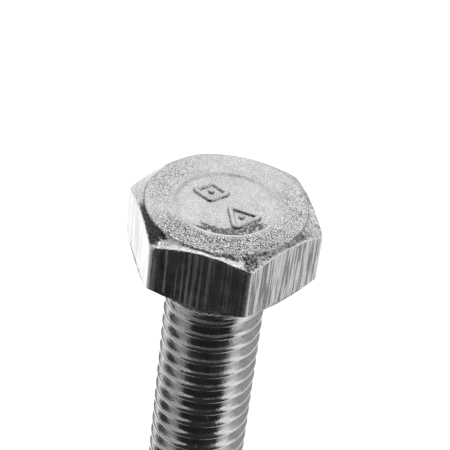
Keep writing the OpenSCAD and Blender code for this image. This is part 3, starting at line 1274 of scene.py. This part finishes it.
        # rubbed stretches, with a painted highlight on the front band and painted light at the left and right
        # corners
        clean_and_painted_light = strongest(turn, self.painted_light_left, self.painted_light_corner, self.rubbed_highlight_band, self.mottled_band)
        smooth = 1 - self.ledge_smoothing * self.ledge.at(turn)
        kept = 1 - self.scale_rubbed_off * self.rubbed_highlight_band.at(turn)
        for t in np.linspace(0.07, 1.0, 16):
            radius = near + width * t
            stepped = soft_step(t, place + self.ledge_step[0], place + self.ledge_step[1])
            fall = t + (np.maximum(stepped, t) - t) * ledge
            z = self.height - rounding * sin - width * math.tan(self.top_angle) * fall
            z = z - self._roughness(outline.spokes.T * radius / MM, t, scale, smooth)
            shelf = ledge * soft_step(t, place, place + self.ledge_width)
            outer = soft_step(t, *self.outer_band) * self.rubbed_edge.at(turn)
            brink = math.exp(-(((1 - t) / self.brink_share) ** 2))
            rubbed = np.maximum(self.wear.ledge * shelf, clean_and_painted_light)
            rubbed = np.maximum(rubbed, self.wear.chamfer_foot * brink)
            rubbed = np.maximum(rubbed, self.wear.outer_edge * outer)
            dark = scale * (1 - shelf) * (1 - outer) * kept
            skin.ring(outline.circle(radius, z), Face.CHAMFER, worn=rubbed, dark=dark, coarse=front)
        return worn

    def _roughness(self, place: Array, t: float, scale: Array, smooth: Array) -> Array:
        """Works out how far the chamfer sinks below its slope.

        Args:
            place: both coordinates of each point, in millimetres.
            t: place on the slope, from 0 at its top to 1 at its foot.
            scale: how much scale lies on each point.
            smooth: share of the coarse unevenness that is left.

        Returns:
            The depth at each point.
        """
        fade = math.sin(math.pi * min(t, 0.999)) ** 0.5
        wave, scale_wave = self.chamfer_wave_heights
        bump, scale_bump = self.chamfer_bump_heights
        waves = (wave + scale_wave * scale) * smooth * self.chamfer_waves.sunk(self.lumps, *place)
        return fade * (waves + (bump + scale_bump * scale) * self.chamfer_bumps.sunk(self.lumps, *place))

    def _flats(self, skin: Skin, outline: Outline, worn: Array) -> Array:
        """Adds the rubbed edge under the chamfer and the six flats, with the die's lines down them.

        Args:
            skin: the head's skin.
            outline: the hexagon.
            worn: how far the edge above the flats is rubbed round.

        Returns:
            The height of the flats' foot at each outline point.
        """
        reach, lip = outline.reach, self.lip(outline)
        front, left = outline.flats == FRONT_FLAT, outline.flats == LEFT_FLAT
        crown = self.height - (reach - self.top_radius) * math.tan(self.top_angle)
        cos, sin = math.cos(self.top_angle), math.sin(self.top_angle)
        edge = [outline.circle(reach - worn * cos, crown + worn * sin),
                outline.lifted(crown), outline.lifted(crown - worn)]
        for t in (0.25, 0.5, 0.75):
            rubbed = np.where(front, self.wear.front_edge, self.wear.other_edges)
            skin.ring(bezier(*edge, t), Face.CHAMFER, worn=rubbed)
        foot = (reach - self.bearing_radius) * self.under_slope - lip + self.short_foot.felt(outline.turn)
        x = self._line_place(outline)
        lines = sum(r.at(self.lumps, x, 0.0) for r in self.die_lines)
        middle, fall = self.front_streaks
        streaky = np.where(left, self.left_streaks, self.other_streaks)
        streaky = np.where(front, middle - fall * outline.along, streaky)
        # the corner between the two flats that face forward is rubbed more than those before it
        early = (np.degrees(outline.turn) + 360) % 360 < 270
        corner_worn = outline.corner * np.where(early, self.wear.other_corners, self.wear.forward_corner)
        layered = soft_step(lip, *self.layered_lips)
        for share in np.concatenate([np.linspace(0, 0.7, 14), np.linspace(0.74, 1.0, 9)]):
            z = (crown - worn) * (1 - share) + (foot + self.flat_gap + self.flat_share * lip) * share
            drift = self.die_drift.at(self.lumps, x, z / MM)
            groove = -self.die_line_depth * (self.die_line_middle + lines + drift) * (1 - outline.corner)
            below_line = self.torn_height + foot - z + self.torn_line.at(self.tears, x, 0.0)
            torn = soft_step(below_line, 0, self.torn_fade) * layered
            layers = sum(r.at(self.tears, x, z / MM) for r in self.torn_layers)
            shift = groove + torn * self.torn_layer_depth * np.minimum(layers - 1, 0)
            top_edge = math.exp(-((share / self.flat_top_share) ** 2))
            place = outline.points + outline.normals * shift[:, None]
            skin.ring(np.column_stack([place, z]), Face.FLAT, dark=torn * self.torn_dark, coarse=streaky,
                      worn=np.maximum(corner_worn, self.wear.flat_top * top_edge))
        return foot

    def _line_place(self, outline: Outline) -> Array:
        """Returns a place across the flats in millimetres, which is different on each flat."""
        return outline.along * self.line_span + outline.flats * self.line_shift

    def _torn_edge(self, skin: Skin, outline: Outline, foot: Array) -> None:
        """Adds the torn edge above the foot of the flats, which leaves a narrow rubbed shelf with a painted
        highlight on its burr and painted shade in its crease.

        Args:
            skin: the head's skin.
            outline: the hexagon.
            foot: height of the flats' foot.
        """
        lip, x = self.lip(outline), self._line_place(outline)
        change = self.tear_change.at(self.tears, outline.along, outline.flats)
        tear = soft_step(lip, *self.torn_lips) * (self.tear_middle + change)
        # painted highlight on the burr, on top of its wear, brightest on the front flat
        bright = 1 - soft_step(np.abs(outline.along - self.burr_middle), *self.burr_reach)
        bright = self.burr_least + (1 - self.burr_least) * bright
        burr_and_highlight = tear * np.where(outline.flats == FRONT_FLAT, bright, self.burr_elsewhere)
        for step in self.tear_steps:
            wave = self.tear_wave_middle + self.tear_wave.at(self.tears, x, step.share)
            place = outline.points - outline.normals * (tear * step.depth * wave)[:, None]
            wander = lip * self.tear_wander.at(self.tears, x, 0.0) * step.share
            z = foot + step.share * (self.torn_gap + self.torn_share * lip) + wander
            face = Face.TORN if step.share < self.torn_finish_share else Face.FLAT
            # painted shade in the crease where the tear meets the flat above it
            dark = self.tear_painted_shade * tear if step.worn < self.dark_step else 0.0
            skin.ring(np.column_stack([place, z]), face, worn=step.worn * burr_and_highlight, dark=dark)

    def _underside(self, skin: Skin, outline: Outline, foot: Array) -> None:
        """Adds the lip's edge, the sloped rim, the bearing face and the fillet to the neck.

        Args:
            skin: the head's skin.
            outline: the hexagon.
            foot: height of the flats' foot.
        """
        reach, lip, thin = outline.reach, self.lip(outline), self.lip_thickness
        edge_top = foot + self.lip_edge_start * (self.torn_gap + self.torn_share * lip)
        edge = [outline.lifted(edge_top), outline.lifted(foot),
                outline.circle(reach - self.lip_edge_width * thin, foot + self.lip_edge_rise)]
        # the lip's edge is rubbed, and its brightness is also a painted highlight
        for t in (0.1, 0.25, 0.4, 0.55, 0.7, 0.85, 1.0):
            skin.ring(bezier(*edge, t), Face.TORN, worn=self.wear.lip_edge)
        under = foot + self.lip_rise
        skin.ring(outline.circle(reach - thin, under), Face.TORN, worn=self.wear.lip_back)
        for step in (0.3, 0.55, 0.8, 1.0):
            radius = (reach - thin) * (1 - step) + self.bearing_radius * step
            slope = (radius - self.bearing_radius) * self.under_slope
            gap = under - slope
            sunk = gap * (1 - soft_step(step, 0.0, np.where(gap > 0, *self.under_ease)))
            skin.ring(outline.circle(radius, slope + sunk), Face.BEARING)
        fillet_edge = self.neck_radius + self.fillet_radius
        for radius in np.linspace(self.bearing_radius, fillet_edge, 6)[1:]:
            skin.ring(outline.circle(radius, 0.0), Face.BEARING)
        for angle in np.radians(np.linspace(10, 90, 9)):
            radius = fillet_edge - self.fillet_radius * math.sin(angle)
            skin.ring(outline.circle(radius, -self.fillet_radius * (1 - math.cos(angle))), Face.BEARING)


# --------------------------------------------------------------------------- shank

# Heights closer than this are the same
SAME_HEIGHT = 1e-6 * MM
# Half of a crest's width, as a part of the pitch
CREST_HALF = 1 / 11
FLANK_SLOPE = 1 / math.tan(math.radians(30))
EDGE_ROUNDING = 0.2 * MM
DENT_DEPTH = 0.05 * MM


@dataclass
class PlainNeck:
    """The smooth stretch between the fillet and the thread."""

    radius: float
    top: float
    bottom: float
    columns: int = 144
    rows: int = 24
    # Unevenness of the drawn wire: its height, and its lumps per radius and per millimetre of length
    wave_height: float = 0.006 * MM
    wave_pace: float = 1.5
    wave_length_pace: float = 0.8
    waves: LatticeNoise = LatticeNoise(5)

    def build(self, finish: bpy.types.Material) -> bpy.types.Object:
        """Makes the neck.

        Args:
            finish: its material.

        Returns:
            The piece.
        """
        turn = np.linspace(0, math.tau, self.columns, endpoint=False)
        x, y = np.cos(turn) * self.wave_pace, np.sin(turn) * self.wave_pace
        skin = Skin(self.columns)
        for share in np.linspace(0, 1, self.rows):
            z = self.top + (self.bottom - self.top) * share
            height = self.wave_height * math.sin(math.pi * share)
            radius = self.radius + height * (self.waves.at(x, y, z / MM * self.wave_length_pace) - 1)
            ring = [radius * np.cos(turn), radius * np.sin(turn), np.full_like(turn, z)]
            skin.ring(np.column_stack(ring), 0)
        mesh = skin.mesh("plain_neck_drawn", Vector((0, 0, self.top)), Vector((0, 0, self.bottom)))
        mesh.polygons.foreach_set("use_smooth", [len(p.vertices) == 4 for p in mesh.polygons])
        return place_piece("plain_neck_drawn", mesh, [finish], "plain_neck")


@dataclass
class RolledThread:
    """The right-hand thread with its runout under the neck and its chamfered point."""

    crest_radius: float
    neck_radius: float
    top: float
    bottom: float
    pitch: float = 1.0 * MM
    root_radius: float = 2.387 * MM
    point_radius: float = 2.25 * MM
    runout: float = 0.8 * MM
    start_angle: float = 195.0
    columns: int = 144
    rows_per_pitch: int = 18
    # The helix starts this far below the point and goes on as far above the neck, and is cut there
    extra_turns: float = 1.2

    def build(self, finish: bpy.types.Material) -> bpy.types.Object:
        """Makes the thread.

        Args:
            finish: its material.

        Returns:
            The piece.
        """
        turns = math.ceil((self.top - self.bottom) / self.pitch + self.extra_turns * 2)
        first = math.floor(self.bottom / self.pitch - self.extra_turns + self.start_angle / 360)
        mesh = grown(self._tree(), {
            "Crest radius": self.crest_radius, "Root radius": self.root_radius,
            "Neck radius": self.neck_radius, "Point radius": self.point_radius,
            "Pitch": self.pitch, "Top": self.top, "Bottom": self.bottom, "Runout": self.runout,
            "Columns": self.columns, "Rows per pitch": self.rows_per_pitch, "Turns": turns,
            "First height": (first - self.start_angle / 360) * self.pitch,
        }, finish)
        mesh.name = "threaded_shank_rolled"
        return place_piece("threaded_shank_rolled", mesh, [finish], "threaded_shank")

    @staticmethod
    def _tree() -> Group:
        """Builds the Geometry Nodes tree of a thread between two flat ends.

        Returns:
            The tree, as a group with named inputs.
        """
        group = Group("rolled_thread", "GeometryNodeTree", {
            "Crest radius": (FLOAT, 3.0 * MM), "Root radius": (FLOAT, 2.4 * MM),
            "Neck radius": (FLOAT, 2.9 * MM), "Point radius": (FLOAT, 2.2 * MM),
            "Pitch": (FLOAT, 1.0 * MM), "Top": (FLOAT, 0.0), "Bottom": (FLOAT, -20.0 * MM),
            "Runout": (FLOAT, 0.8 * MM), "First height": (FLOAT, -22.0 * MM),
            "Columns": ("NodeSocketInt", 96), "Rows per pitch": ("NodeSocketInt", 12),
            "Turns": ("NodeSocketInt", 20), "Finish": ("NodeSocketMaterial", None),
        }, {"Geometry": "NodeSocketGeometry"})
        g, given = group.graph, group.given
        around = g.math("ADD", given["Columns"], 1.0)
        rows = g.math("MULTIPLY", given["Rows per pitch"], given["Turns"])
        grid = g.node("GeometryNodeMeshGrid",
                      {"Size X": 1.0, "Size Y": 1.0, "Vertices X": around, "Vertices Y": rows})
        # a grid counts its points along Y first
        index = g.node("GeometryNodeInputIndex").outputs[0]
        column = g.math("FLOOR", g.math("DIVIDE", g.math("ADD", index, 0.5), rows))
        row = g.math("SUBTRACT", index, g.math("MULTIPLY", column, rows))
        turn = g.math("DIVIDE", column, given["Columns"])
        pitches = g.math("DIVIDE", row, given["Rows per pitch"])
        climb = g.math("MULTIPLY", g.math("ADD", pitches, turn), given["Pitch"])
        raw_z = g.math("ADD", climb, given["First height"])
        z = g.math("MINIMUM", given["Top"], g.math("MAXIMUM", given["Bottom"], raw_z))
        # on the end rings the form is left out, so that all rows past an end share its points
        past = g.math("ABSOLUTE", g.math("SUBTRACT", z, raw_z))
        inside = g.math("LESS_THAN", past, SAME_HEIGHT)
        angle = g.math("MULTIPLY", turn, math.tau)
        direction = g.join(g.math("COSINE", angle), g.math("SINE", angle), 0.0)
        radius = RolledThread._form(g, given, pitches, z, inside, direction)
        place = g.offset(direction, radius, z)
        moved = g.node("GeometryNodeSetPosition", {"Geometry": grid.outputs["Mesh"], "Position": place})
        smooth = g.node("GeometryNodeSetShadeSmooth", {"Geometry": moved.outputs[0], "Shade Smooth": True})
        top = RolledThread._disc(g, given["Columns"], given["Neck radius"], given["Top"])
        bottom = RolledThread._disc(g, given["Columns"], given["Point radius"], given["Bottom"])
        turned = g.node("GeometryNodeFlipFaces", {"Mesh": bottom})
        joined = g.gathered(smooth.outputs[0], top, turned.outputs[0])
        merged = g.node("GeometryNodeMergeByDistance", {"Geometry": joined, "Distance": 0.0004 * MM})
        group.finish(merged.outputs[0])
        return group

    @staticmethod
    def _disc(g: Graph, columns: Socket, radius: Socket, height: Socket) -> Socket:
        """Makes the flat disc that closes one end.

        Args:
            g: the tree's graph.
            columns: points round the disc.
            radius: its radius.
            height: its height.

        Returns:
            The disc, facing up.
        """
        disc = g.node("GeometryNodeMeshCircle", {"Vertices": columns, "Radius": radius},
                      fill_type="TRIANGLE_FAN")
        flat = g.node("GeometryNodeSetShadeSmooth", {"Geometry": disc.outputs[0], "Shade Smooth": False})
        return g.node("GeometryNodeTransform",
                      {"Geometry": flat.outputs[0], "Translation": g.join(0.0, 0.0, height)}).outputs[0]

    @staticmethod
    def _form(g: Graph, given: Any, pitches: Socket, z: Socket, inside: Socket, direction: Socket) -> Socket:
        """Returns the radius of the thread's surface at a row.

        Args:
            g: the tree's graph.
            given: the tree's inputs.
            pitches: the row's place, counted in pitches from the middle of a crest.
            z: the row's height.
            inside: 1 where the row lies between the ends.
            direction: outward direction.

        Returns:
            The radius.
        """
        wrapped = g.math("ABSOLUTE", g.math("SUBTRACT", g.math("FRACT", g.math("ADD", pitches, 0.5)), 0.5))
        off_crest = g.math("SUBTRACT", g.math("MULTIPLY", wrapped, given["Pitch"]),
                           g.math("MULTIPLY", given["Pitch"], CREST_HALF))
        flank = g.math("MULTIPLY_ADD", off_crest, -FLANK_SLOPE, given["Crest radius"])
        crest = g.math("SMOOTH_MIN", given["Crest radius"], flank, EDGE_ROUNDING)
        rounded = g.math("SMOOTH_MAX", given["Root radius"], crest, EDGE_ROUNDING)
        fade = g.remap(z, g.math("SUBTRACT", given["Top"], given["Runout"]), given["Top"])
        filled = g.between(fade, given["Root radius"], given["Neck radius"])
        limit = g.between(fade, given["Crest radius"], given["Neck radius"])
        cone = g.math("ADD", given["Point radius"], g.math("SUBTRACT", z, given["Bottom"]))
        formed = g.math("MINIMUM", limit, g.math("SMOOTH_MAX", filled, rounded, 0.05 * MM))
        place = g.offset(direction, 3.0 * MM, z)
        uneven = g.math("SUBTRACT", g.noise(place, 1 / (0.9 * MM), detail=3.0), 0.5)
        near_crest = g.math("SUBTRACT", given["Crest radius"], 0.25 * MM)
        crest_share = g.remap(rounded, near_crest, given["Crest radius"])
        dent = g.math("MULTIPLY", g.math("MULTIPLY", uneven, crest_share), DENT_DEPTH)
        dented = g.math("ADD", formed, g.math("MULTIPLY", dent, g.math("SUBTRACT", 1.0, fade)))
        low = g.math("MINIMUM", dented, given["Crest radius"])
        shaped = g.math("SMOOTH_MIN", cone, low, 0.08 * MM)
        at_top = g.math("GREATER_THAN", z, g.math("SUBTRACT", given["Top"], SAME_HEIGHT))
        end_radius = g.between(at_top, given["Point radius"], given["Neck radius"])
        kept = g.math("MULTIPLY", shaped, inside)
        return g.math("ADD", kept, g.math("MULTIPLY", end_radius, g.math("SUBTRACT", 1.0, inside)))


# --------------------------------------------------------------------------- marks


@dataclass
class RaisedMarks:
    """Two raised outlines with pips on the recess floor: a lozenge and a triangle."""

    floor: float
    offset: float = 1.4 * MM
    line_angle: float = math.radians(144)
    ridge_height: float = 0.12 * MM
    ridge_width: float = 0.36 * MM
    lozenge_turn: float = math.radians(48)
    lozenge_half_length: float = 0.97 * MM
    lozenge_half_width: float = 0.81 * MM
    triangle_radius: float = 1.1 * MM
    pip_radius: float = 0.2 * MM
    # Painted shade at the feet of the ridges: how dark it is
    foot_painted_shade: float = 0.5

    def build(self, finish: bpy.types.Material) -> bpy.types.Object:
        """Makes both marks.

        Args:
            finish: their material.

        Returns:
            The piece.
        """
        tree = self._tree()
        along = Vector((math.cos(self.line_angle), math.sin(self.line_angle), 0)) * self.offset
        lozenge = Vector((self.lozenge_half_length, self.lozenge_half_width, 1))
        triangle = Vector((self.triangle_radius, self.triangle_radius, 1))
        shapes = (
            (4, lozenge, along, self.line_angle + self.lozenge_turn),
            (3, triangle, -along, self.line_angle),
        )
        meshes = []
        for corners, size, middle, turn in shapes:
            meshes.append(grown(tree, {
                "Corners": corners, "Half size": size, "Ridge width": self.ridge_width,
                "Ridge height": self.ridge_height, "Pip radius": self.pip_radius,
                "Middle": middle + Vector((0, 0, self.floor)), "Turn": turn,
            }, finish))
        mesh = self._joined(meshes)
        return place_piece("head_marks_raised", mesh, [finish], "head_marks")

    def _joined(self, meshes: Sequence[bpy.types.Mesh]) -> bpy.types.Mesh:
        """Joins meshes into one and paints shade at their feet.

        Args:
            meshes: the meshes, each in place.

        Returns:
            The joined mesh.
        """
        points: list[Any] = []
        faces: list[tuple[int, ...]] = []
        for part in meshes:
            base = len(points)
            points += [tuple(v.co) for v in part.vertices]
            faces += [tuple(base + i for i in p.vertices) for p in part.polygons]
        mesh = bpy.data.meshes.new("head_marks_raised")
        mesh.from_pydata(points, [], faces)
        mesh.polygons.foreach_set("use_smooth", [True] * len(faces))
        # painted shade, darkest at the feet of the ridges where they meet the floor
        heights = np.array(points)[:, 2]
        share = (heights - np.median(heights)) / (heights.max() - np.median(heights))
        layer = mesh.attributes.new("dark", "FLOAT", "POINT")
        layer.data.foreach_set("value", self.foot_painted_shade * (1 - soft_step(share, 0.3, 0.8)))
        mesh.update()
        return mesh

    @staticmethod
    def _tree() -> Group:
        """Builds the Geometry Nodes tree of one mark: a ridge swept round an outline, and a pip.

        Returns:
            The tree, as a group with named inputs.
        """
        group = Group("raised_mark", "GeometryNodeTree", {
            "Corners": ("NodeSocketInt", 4), "Half size": (VECTOR, None),
            "Ridge width": (FLOAT, 0.3 * MM), "Ridge height": (FLOAT, 0.1 * MM),
            "Pip radius": (FLOAT, 0.2 * MM), "Middle": (VECTOR, None), "Turn": (FLOAT, 0.0),
            "Finish": ("NodeSocketMaterial", None),
        }, {"Geometry": "NodeSocketGeometry"})
        g, given = group.graph, group.given
        outline = g.node("GeometryNodeCurvePrimitiveCircle", {"Resolution": given["Corners"], "Radius": 1.0})
        sized = g.node("GeometryNodeTransform", {"Geometry": outline.outputs[0], "Scale": given["Half size"]})
        soft = g.node("GeometryNodeFilletCurve", mode="POLY")
        for name, value in (("Curve", sized.outputs[0]), ("Radius", 0.14 * MM), ("Count", 8)):
            g.feed(soft.inputs[name], value)
        even = g.node("GeometryNodeResampleCurve", {"Curve": soft.outputs[0], "Count": 120})
        section = g.node("GeometryNodeCurvePrimitiveCircle", {"Resolution": 20, "Radius": 1.0})
        squashed = g.node("GeometryNodeTransform", {
            "Geometry": section.outputs[0],
            "Scale": g.join(g.math("MULTIPLY", given["Ridge width"], 0.5), given["Ridge height"], 1.0)})
        ridge = g.node("GeometryNodeCurveToMesh",
                       {"Curve": even.outputs[0], "Profile Curve": squashed.outputs[0]})
        ball = g.node("GeometryNodeMeshUVSphere", {"Segments": 32, "Rings": 16, "Radius": 1.0})
        pip = g.node("GeometryNodeTransform", {
            "Geometry": ball.outputs[0],
            "Scale": g.join(given["Pip radius"], given["Pip radius"], given["Ridge height"])})
        turned = g.node("GeometryNodeTransform", {
            "Geometry": g.gathered(ridge.outputs[0], pip.outputs[0]),
            "Rotation": g.join(0.0, 0.0, given["Turn"]), "Translation": given["Middle"]})
        group.finish(turned.outputs[0])
        return group


# --------------------------------------------------------------------------- studio


@dataclass
class Viewpoint:
    """The camera, given by its place round the bolt's axis."""

    azimuth: float = -78.16
    elevation: float = 37.86
    distance: float = 98.17 * MM
    aim_height: float = 0.3 * MM
    roll: float = 7.15
    pan: float = -0.159
    tilt: float = 0.966
    lens: float = 135.56
    sensor_width: float = 36.0
    reach: tuple[float, float] = (1 * MM, 10.0)

    def build(self) -> None:
        """Makes the scene's camera."""
        turn, lift = math.radians(self.azimuth), math.radians(self.elevation)
        back = Vector((math.cos(turn) * math.cos(lift), math.sin(turn) * math.cos(lift), math.sin(lift)))
        right = Vector((-math.sin(turn), math.cos(turn), 0))
        up = back.cross(right)
        facing = Matrix((right, up, back)).transposed().to_4x4()
        facing = facing @ Matrix.Rotation(math.radians(self.roll), 4, "Z")
        facing = facing @ Matrix.Rotation(math.radians(self.pan), 4, "Y")
        facing = facing @ Matrix.Rotation(math.radians(self.tilt), 4, "X")
        data = bpy.data.cameras.new("camera")
        data.lens = self.lens
        data.sensor_width = self.sensor_width
        data.clip_start, data.clip_end = self.reach
        camera = bpy.data.objects.new("camera", data)
        place = Vector((0, 0, self.aim_height)) + back * self.distance
        camera.matrix_world = Matrix.Translation(place) @ facing
        bpy.context.scene.collection.objects.link(camera)
        bpy.context.scene.camera = camera


@dataclass(frozen=True)
class LightZone:
    """A patch of the surround: its brightness and its limits in degrees, with the soft width last.

    Side is measured from the camera's own direction towards the right, rise from the horizon.
    """

    tone: float
    side: tuple[float, float, float] = (-200, 200, 1)
    rise: tuple[float, float, float] = (-100, 100, 1)


@dataclass
class Studio:
    """A pale floor, a white backdrop and soft light, with the dark of the room in front."""

    floor_height: float
    front_azimuth: float
    floor_size: float = 2.0
    floor_tone: float = 0.9
    floor_glow: float = 0.75
    zones: tuple[LightZone, ...] = (
        LightZone(1.15),
        LightZone(1.4, side=(-178, -116, 20), rise=(-66, -12, 16)),
        LightZone(0.5, side=(-108, -40, 16), rise=(-75, 66, 14)),
        LightZone(0.85, side=(58, 135, 24), rise=(-62, -12, 20)),
        LightZone(0.42, side=(84, 150, 20), rise=(-4, 58, 16)),
        LightZone(0.3, side=(-158, -104, 16), rise=(-10, 18, 12)),
        LightZone(0.05, side=(-140, -101, 12), rise=(29, 58, 12)),
        LightZone(0.06, side=(-105, 105, 30), rise=(69, 91, 8)),
        LightZone(0.033, side=(-56, 52, 18), rise=(-100, 75, 10)),
    )

    def build(self) -> None:
        """Makes the floor and the surround."""
        self._floor()
        self._surround()

    def _floor(self) -> None:
        """Makes the pale floor that the bolt stands on."""
        material = bpy.data.materials.new("pale_floor")
        material.use_nodes = True
        g = Graph(material.node_tree)
        shader = g.tree.nodes["Principled BSDF"]
        shader.inputs["Base Color"].default_value = (self.floor_tone, self.floor_tone, self.floor_tone, 1)
        shader.inputs["Roughness"].default_value = 0.9
        shader.inputs["Specular IOR Level"].default_value = 0.0
        shader.inputs["Emission Color"].default_value = (1, 1, 1, 1)
        shader.inputs["Emission Strength"].default_value = self.floor_glow
        mesh = bpy.data.meshes.new("floor")
        half, z = self.floor_size / 2, self.floor_height
        mesh.from_pydata([(-half, -half, z), (half, -half, z), (half, half, z), (-half, half, z)],
                         [], [(0, 1, 2, 3)])
        mesh.materials.append(material)
        floor = bpy.data.objects.new("floor", mesh)
        bpy.context.scene.collection.objects.link(floor)
        floor.visible_glossy = False
        floor.visible_diffuse = False

    def _surround(self) -> None:
        """Makes the world: white for the camera, soft zones of light for the steel."""
        world = bpy.data.worlds.new("studio")
        bpy.context.scene.world = world
        world.use_nodes = True
        g = Graph(world.node_tree)
        g.tree.nodes.clear()
        turn = math.radians(self.front_azimuth)
        direction = g.node("ShaderNodeTexCoord").outputs["Generated"]
        ahead = g.vector("DOT_PRODUCT", direction, (math.cos(turn), math.sin(turn), 0.0)).outputs["Value"]
        across = g.vector("DOT_PRODUCT", direction, (-math.sin(turn), math.cos(turn), 0.0)).outputs["Value"]
        _, _, height = g.split(direction)
        side = g.math("DEGREES", g.math("ARCTAN2", across, ahead))
        rise = g.math("DEGREES", g.math("ARCSINE", height))
        light: Socket = g.math("ADD", 0.0, self.zones[0].tone)
        for zone in self.zones[1:]:
            mask = g.math("MULTIPLY", self._between(g, side, *zone.side), self._between(g, rise, *zone.rise))
            kept = g.math("MULTIPLY", light, g.math("SUBTRACT", 1.0, mask))
            light = g.math("MULTIPLY_ADD", mask, zone.tone, kept)
        lit = g.node("ShaderNodeBackground", {"Color": g.grey(light), "Strength": 1.0})
        white = g.node("ShaderNodeBackground", {"Color": (1, 1, 1, 1), "Strength": 1.0})
        seen = g.node("ShaderNodeLightPath").outputs["Is Camera Ray"]
        mixed = g.node("ShaderNodeMixShader", {0: seen, 1: lit.outputs[0], 2: white.outputs[0]})
        out = g.node("ShaderNodeOutputWorld")
        g.feed(out.inputs["Surface"], mixed.outputs[0])
        bpy.context.scene.view_settings.view_transform = "Standard"

    @staticmethod
    def _between(g: Graph, value: Socket, low: float, high: float, soft: float) -> Socket:
        """Makes a soft range of directions.

        Args:
            g: the world's graph.
            value: the direction in degrees.
            low: the lower limit.
            high: the upper limit.
            soft: width over which each limit is eased.

        Returns:
            1 between the limits and 0 outside.
        """
        up = g.remap(value, low - soft / 2, low + soft / 2)
        down = g.remap(value, high - soft / 2, high + soft / 2, 1.0, 0.0)
        return g.math("MULTIPLY", up, down)


# --------------------------------------------------------------------------- bolt


@dataclass
class HexBolt:
    """The whole bolt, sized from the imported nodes."""

    effects: SurfaceEffects = field(default_factory=SurfaceEffects)

    def build(self) -> None:
        """Builds every piece in order, from the head down."""
        head_low, head_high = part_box("hex_head")
        neck_low, neck_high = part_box("plain_neck")
        thread_low, thread_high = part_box("threaded_shank")
        marks_low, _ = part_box("head_marks")
        top, chamfer, flat, bearing, torn, neck, thread = (
            finish.build(self.effects) for finish in
            (PRESSED_TOP, FORMED_CHAMFER, TRIMMED_FLAT, BEARING_FACE, TORN_LIP, DRAWN_NECK, ROLLED_THREAD))
        HexHead(flat_radius=head_high.y, height=head_high.z, neck_radius=neck_high.x,
                fillet_radius=-head_low.z).build((top, chamfer, flat, bearing, torn))
        RaisedMarks(floor=marks_low.z).build(top)
        PlainNeck(radius=neck_high.x, top=neck_high.z, bottom=neck_low.z).build(neck)
        RolledThread(crest_radius=thread_high.x, neck_radius=neck_high.x, top=thread_high.z,
                     bottom=thread_low.z).build(thread)


def main() -> None:
    """Builds the camera, the bolt and the studio."""
    logging.basicConfig(level=logging.INFO, format="%(name)s: %(message)s")
    view = Viewpoint()
    view.build()
    HexBolt().build()
    Studio(floor_height=cad_box[0].z - FLOOR_GAP, front_azimuth=view.azimuth).build()
    bpy.context.view_layer.update()


if __name__ == "__main__":
    main()
